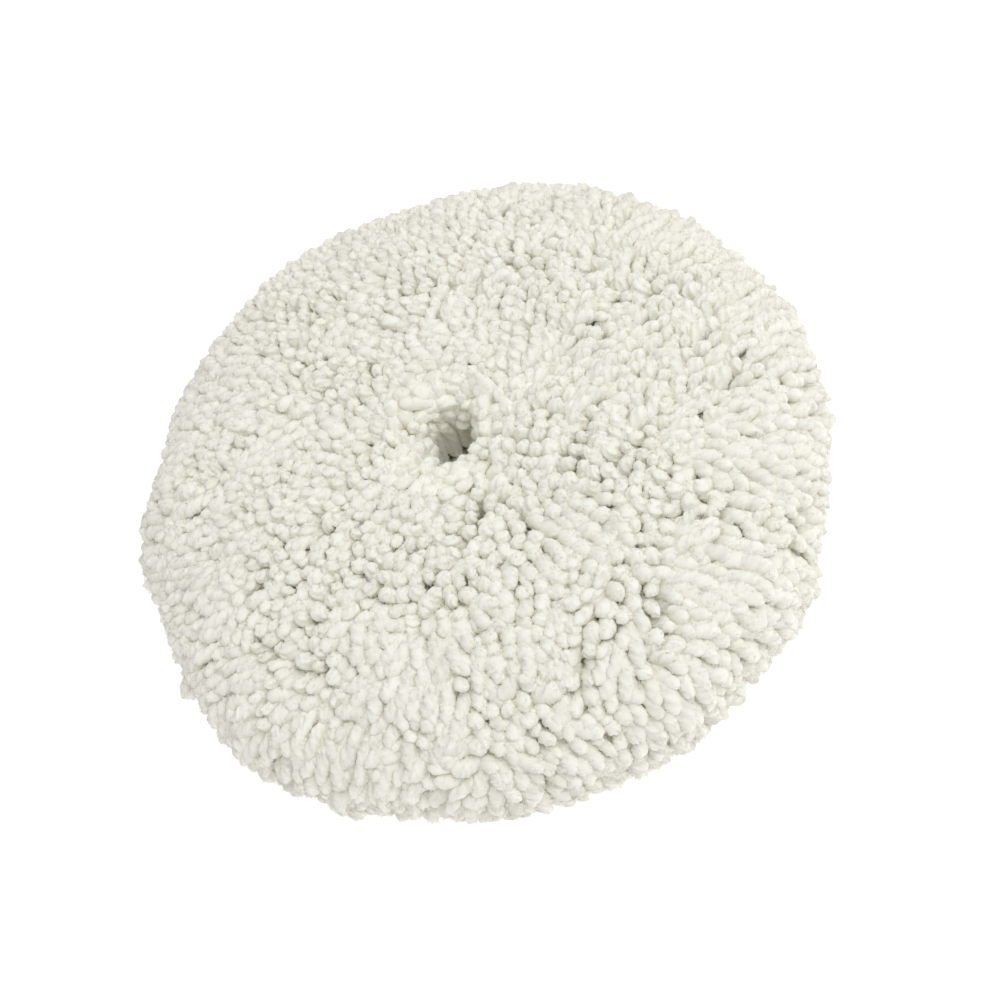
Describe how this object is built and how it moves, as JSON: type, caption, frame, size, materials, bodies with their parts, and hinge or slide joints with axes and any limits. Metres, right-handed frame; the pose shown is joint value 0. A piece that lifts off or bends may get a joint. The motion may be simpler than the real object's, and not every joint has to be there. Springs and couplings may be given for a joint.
{
  "type": "polishing pad",
  "caption": "Round twisted-wool polishing pad: deep tufted pile rolled over a laminated hook-and-loop backing with a centring hole",
  "frame": {"origin": "the centre of the loop face, which the pad lies on", "axes": "+Z is the pad's turning axis, up through the pile; X and Y lie in the loop face"},
  "size_m": [0.2, 0.2, 0.04],
  "materials": {
    "wool": "ivory four-ply twisted wool yarn, cut pile",
    "loop_fabric": "brushed knitted loop fabric",
    "foam": "closed-cell foam",
    "glue": "hot-melt adhesive film",
    "latex": "latex lock coat",
    "cloth": "plain-woven polyester tufting cloth",
    "thread": "bonded polyester sewing thread"
  },
  "bodies": {
    "root": {"loop_face": "loop_fabric", "loop_glue_film": "glue", "foam_cushion": "foam", "cloth_glue_film": "glue", "latex_lock_coat": "latex", "tufting_cloth": "cloth", "rim_seam_bobbin_thread": "thread", "rim_seam_needle_thread": "thread", "hole_seam_bobbin_thread": "thread", "hole_seam_needle_thread": "thread", "hole_tufts": "wool", "inner_crown_tufts": "wool", "outer_crown_tufts": "wool", "shoulder_tufts": "wool", "rim_tufts": "wool", "lower_edge_tufts": "wool"}
  },
  "joints": []
}
